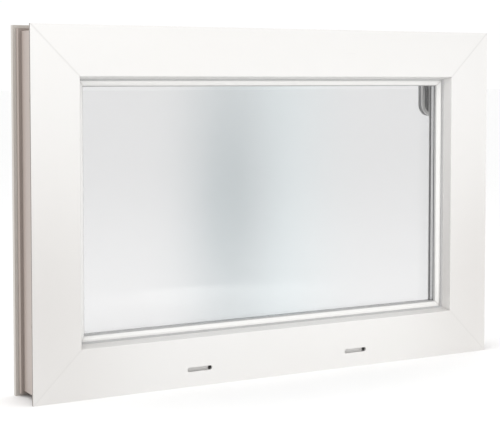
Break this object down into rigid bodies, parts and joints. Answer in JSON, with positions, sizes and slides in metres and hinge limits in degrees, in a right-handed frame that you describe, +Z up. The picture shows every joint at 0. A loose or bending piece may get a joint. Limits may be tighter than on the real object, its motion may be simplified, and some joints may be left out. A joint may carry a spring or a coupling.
{
  "type": "tilting utility window",
  "caption": "Small bottom-hung window: mitred hollow plastic frame, slim tilting double-glazed sash, slotted stay arms and a quarter-turn crank latch.",
  "frame": {"origin": "middle of the bottom edge of the frame, at the centre of its depth", "axes": "+X along the width, -Y out of the weather face, +Y into the room, +Z up"},
  "size_m": [0.6, 0.06, 0.4],
  "materials": {
    "pvc_white": "semi-gloss extruded PVC",
    "seal_grey": "matte",
    "gasket_black": "matte",
    "sealant_black": "matte",
    "spacer_aluminium": "mill finish, satin",
    "block_plastic": "matte",
    "glass": "clear float glass",
    "handle_plastic": "semi-gloss moulded",
    "lever_plastic": "satin moulded",
    "galvanised_steel": "zinc plated, satin",
    "bright_steel": "bright zinc"
  },
  "bodies": {
    "frame": {"frame_bar_top": "pvc_white", "frame_bar_bottom": "pvc_white", "frame_bar_left": "pvc_white", "frame_bar_right": "pvc_white", "frame_reinforcement": "galvanised_steel", "frame_seal": "seal_grey", "keep_plate": "bright_steel", "keep_screws": "bright_steel", "hinge_frame_leaf_left": "galvanised_steel", "hinge_frame_leaf_right": "galvanised_steel", "hinge_pin_left": "bright_steel", "hinge_pin_right": "bright_steel", "hinge_frame_screws": "bright_steel", "stay_pivot_left": "bright_steel", "stay_pivot_right": "bright_steel"},
    "sash": {"sash_bar_top": "pvc_white", "sash_bar_bottom": "pvc_white", "sash_bar_left": "pvc_white", "sash_bar_right": "pvc_white", "glazing_bead_top": "pvc_white", "glazing_bead_bottom": "pvc_white", "glazing_bead_left": "pvc_white", "glazing_bead_right": "pvc_white", "outer_pane": "glass", "inner_pane": "glass", "glass_spacer": "spacer_aluminium", "spacer_butyl": "sealant_black", "edge_sealant": "sealant_black", "front_glazing_gasket": "gasket_black", "rear_glazing_gasket": "gasket_black", "setting_blocks": "block_plastic", "hinge_sash_leaf_left": "galvanised_steel", "hinge_sash_leaf_right": "galvanised_steel", "hinge_sash_screws": "bright_steel", "stay_stud_left": "bright_steel", "stay_stud_right": "bright_steel", "crank_base": "handle_plastic", "crank_base_screws": "bright_steel"},
    "crank": {"crank_lever": "lever_plastic", "lever_rim": "handle_plastic", "crank_spindle": "bright_steel", "crank_screw": "bright_steel", "crank_cover": "lever_plastic", "latch_tongue": "bright_steel"},
    "stay_left": {"stay_arm_left": "galvanised_steel"},
    "stay_right": {"stay_arm_right": "galvanised_steel"}
  },
  "joints": [
    {"name": "sash_tilt", "type": "hinge", "parent": "frame", "child": "sash", "pos_m": [0, 0.0166, 0.0436], "axis": [-1, 0, 0], "range_deg": [0, 20]},
    {"name": "crank_turn", "type": "hinge", "parent": "sash", "child": "crank", "pos_m": [0.2425, 0.015, 0.3504], "axis": [0, 1, 0], "range_deg": [0, 90]},
    {"name": "stay_left_swing", "type": "hinge", "parent": "frame", "child": "stay_left", "pos_m": [-0.2572, 0.01334, 0.10351], "axis": [-1, 0, 0], "range_deg": [0, 26.1]},
    {"name": "stay_right_swing", "type": "hinge", "parent": "frame", "child": "stay_right", "pos_m": [0.2572, 0.01334, 0.10351], "axis": [-1, 0, 0], "range_deg": [0, 26.1]}
  ],
  "couplings": [
    {"joint": "stay_left_swing", "follows": "sash_tilt", "ratio": 1.3025},
    {"joint": "stay_right_swing", "follows": "sash_tilt", "ratio": 1.3025}
  ]
}
